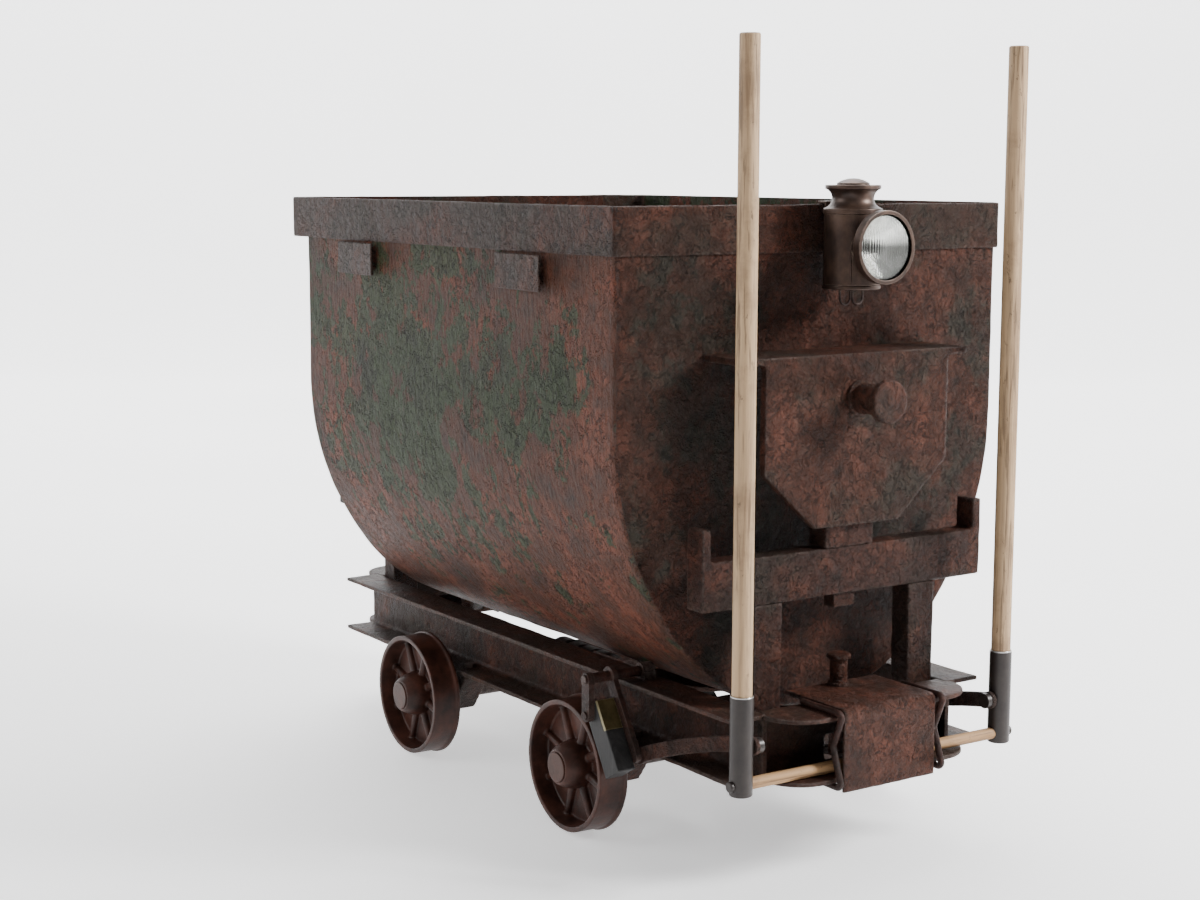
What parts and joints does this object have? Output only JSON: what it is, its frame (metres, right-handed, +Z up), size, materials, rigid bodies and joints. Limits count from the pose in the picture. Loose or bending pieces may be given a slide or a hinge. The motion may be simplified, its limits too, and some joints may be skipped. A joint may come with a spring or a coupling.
{
  "type": "mine_cart",
  "caption": "Narrow-gauge mine cart with a lift-off trough tub, spoked flanged wheels, pole-worked wheel brakes and a hooked-on lamp",
  "frame": {"origin": "middle of the overall length and width, at the lowest point of the wheel flanges", "axes": "+X towards the lamp end, +Y towards the cart's left side, +Z up"},
  "size_m": [1.546, 0.848, 1.363],
  "materials": {
    "tub_paint": "worn green paint over rusted steel plate",
    "frame_steel": "old dark coating gone brown with rust",
    "wheel_iron": "dark cast iron, bare on the tread",
    "bright_steel": "dull worn steel",
    "dark_steel": "forged dark steel",
    "bush_brass": "turned bearing metal",
    "pole_wood": "bleached weathered pole",
    "rod_wood": "brown worn wood",
    "block_wood": "near-black oiled wood",
    "wear_brass": "tarnished brass plate",
    "lamp_metal": "brown patinated lamp metal",
    "lamp_glass": "clear fluted lens",
    "lamp_mirror": "polished reflector",
    "buffer_rubber": "grey draw-spring rubber"
  },
  "bodies": {
    "frame": {"sills": "frame_steel", "headstocks": "frame_steel", "cradle_posts": "frame_steel", "crossbars": "frame_steel", "cross_members": "frame_steel", "tub_cradles": "frame_steel", "coupling_boxes": "frame_steel", "axle_pedestals": "frame_steel", "retaining_hoops": "dark_steel", "axles": "dark_steel", "axle_nuts": "dark_steel", "frame_bolts": "dark_steel", "brake_pivots": "dark_steel", "drawbar": "dark_steel", "draw_rings": "buffer_rubber", "draw_washers": "dark_steel"},
    "tub": {"tub_shell": "tub_paint", "tub_ends": "tub_paint", "rim_band": "tub_paint", "side_clips": "tub_paint", "saddles": "tub_paint", "drain_eye": "tub_paint", "saddle_feet": "dark_steel", "trunnions": "dark_steel"},
    "lamp": {"lamp_base": "lamp_metal", "lamp_body": "lamp_metal", "lamp_chimney": "lamp_metal", "lamp_cap": "lamp_metal", "lamp_bezel": "lamp_metal", "lamp_hook": "lamp_metal", "lamp_loops": "lamp_metal", "lamp_lens": "lamp_glass", "lamp_reflector": "lamp_mirror", "lamp_burner": "bush_brass"},
    "pin_front": {"coupling_pin_front": "dark_steel"},
    "pin_rear": {"coupling_pin_rear": "dark_steel"},
    "brake_lever": {"pole_sockets": "dark_steel", "brake_poles": "pole_wood", "cross_rod": "rod_wood", "lever_bolts": "dark_steel"},
    "hanger_right": {"hanger_links_right": "dark_steel", "brake_block_right": "block_wood", "wear_plate_right": "wear_brass"},
    "strap_right": {"brake_strap_right": "dark_steel"},
    "hanger_left": {"hanger_links_left": "dark_steel", "brake_block_left": "block_wood", "wear_plate_left": "wear_brass"},
    "strap_left": {"brake_strap_left": "dark_steel"},
    "wheel_front_right_set": {"wheel_front_right": "wheel_iron", "bush_front_right": "bush_brass", "hub_cap_front_right": "bright_steel"},
    "wheel_front_left_set": {"wheel_front_left": "wheel_iron", "bush_front_left": "bush_brass", "hub_cap_front_left": "bright_steel"},
    "wheel_rear_right_set": {"wheel_rear_right": "wheel_iron", "bush_rear_right": "bush_brass", "hub_cap_rear_right": "bright_steel"},
    "wheel_rear_left_set": {"wheel_rear_left": "wheel_iron", "bush_rear_left": "bush_brass", "hub_cap_rear_left": "bright_steel"}
  },
  "joints": [
    {"name": "tub_lift", "type": "slide", "parent": "frame", "child": "tub", "axis": [0, 0, 1], "range_m": [0, 0.12]},
    {"name": "lamp_lift", "type": "slide", "parent": "tub", "child": "lamp", "axis": [0, 0, 1], "range_m": [0, 0.04]},
    {"name": "pin_front_lift", "type": "slide", "parent": "frame", "child": "pin_front", "axis": [0, 0, 1], "range_m": [0, 0.075]},
    {"name": "pin_rear_lift", "type": "slide", "parent": "frame", "child": "pin_rear", "axis": [0, 0, 1], "range_m": [0, 0.075]},
    {"name": "brake_swing", "type": "hinge", "parent": "frame", "child": "brake_lever", "pos_m": [0.727, 0, 0.191], "axis": [0, 1, 0], "range_deg": [-5.5, 15]},
    {"name": "hanger_right_swing", "type": "hinge", "parent": "frame", "child": "hanger_right", "pos_m": [0.38, -0.32, 0.298], "axis": [0, -1, 0], "range_deg": [-2.23, 6.08]},
    {"name": "strap_right_swing", "type": "hinge", "parent": "brake_lever", "child": "strap_right", "pos_m": [0.727, -0.258, 0.251], "axis": [0, -1, 0], "range_deg": [-4.72, 12.86]},
    {"name": "hanger_left_swing", "type": "hinge", "parent": "frame", "child": "hanger_left", "pos_m": [0.38, 0.32, 0.298], "axis": [0, -1, 0], "range_deg": [-2.23, 6.08]},
    {"name": "strap_left_swing", "type": "hinge", "parent": "brake_lever", "child": "strap_left", "pos_m": [0.727, 0.258, 0.251], "axis": [0, -1, 0], "range_deg": [-4.72, 12.86]},
    {"name": "wheel_front_right_spin", "type": "hinge", "parent": "frame", "child": "wheel_front_right_set", "pos_m": [0.29, -0.31, 0.121], "axis": [0, 1, 0], "continuous": true},
    {"name": "wheel_front_left_spin", "type": "hinge", "parent": "frame", "child": "wheel_front_left_set", "pos_m": [0.29, 0.31, 0.121], "axis": [0, 1, 0], "continuous": true},
    {"name": "wheel_rear_right_spin", "type": "hinge", "parent": "frame", "child": "wheel_rear_right_set", "pos_m": [-0.29, -0.31, 0.121], "axis": [0, 1, 0], "continuous": true},
    {"name": "wheel_rear_left_spin", "type": "hinge", "parent": "frame", "child": "wheel_rear_left_set", "pos_m": [-0.29, 0.31, 0.121], "axis": [0, 1, 0], "continuous": true}
  ],
  "couplings": [
    {"joint": "hanger_right_swing", "follows": "brake_swing", "ratio": 0.4053},
    {"joint": "strap_right_swing", "follows": "brake_swing", "ratio": 0.8574},
    {"joint": "hanger_left_swing", "follows": "brake_swing", "ratio": 0.4053},
    {"joint": "strap_left_swing", "follows": "brake_swing", "ratio": 0.8574}
  ]
}
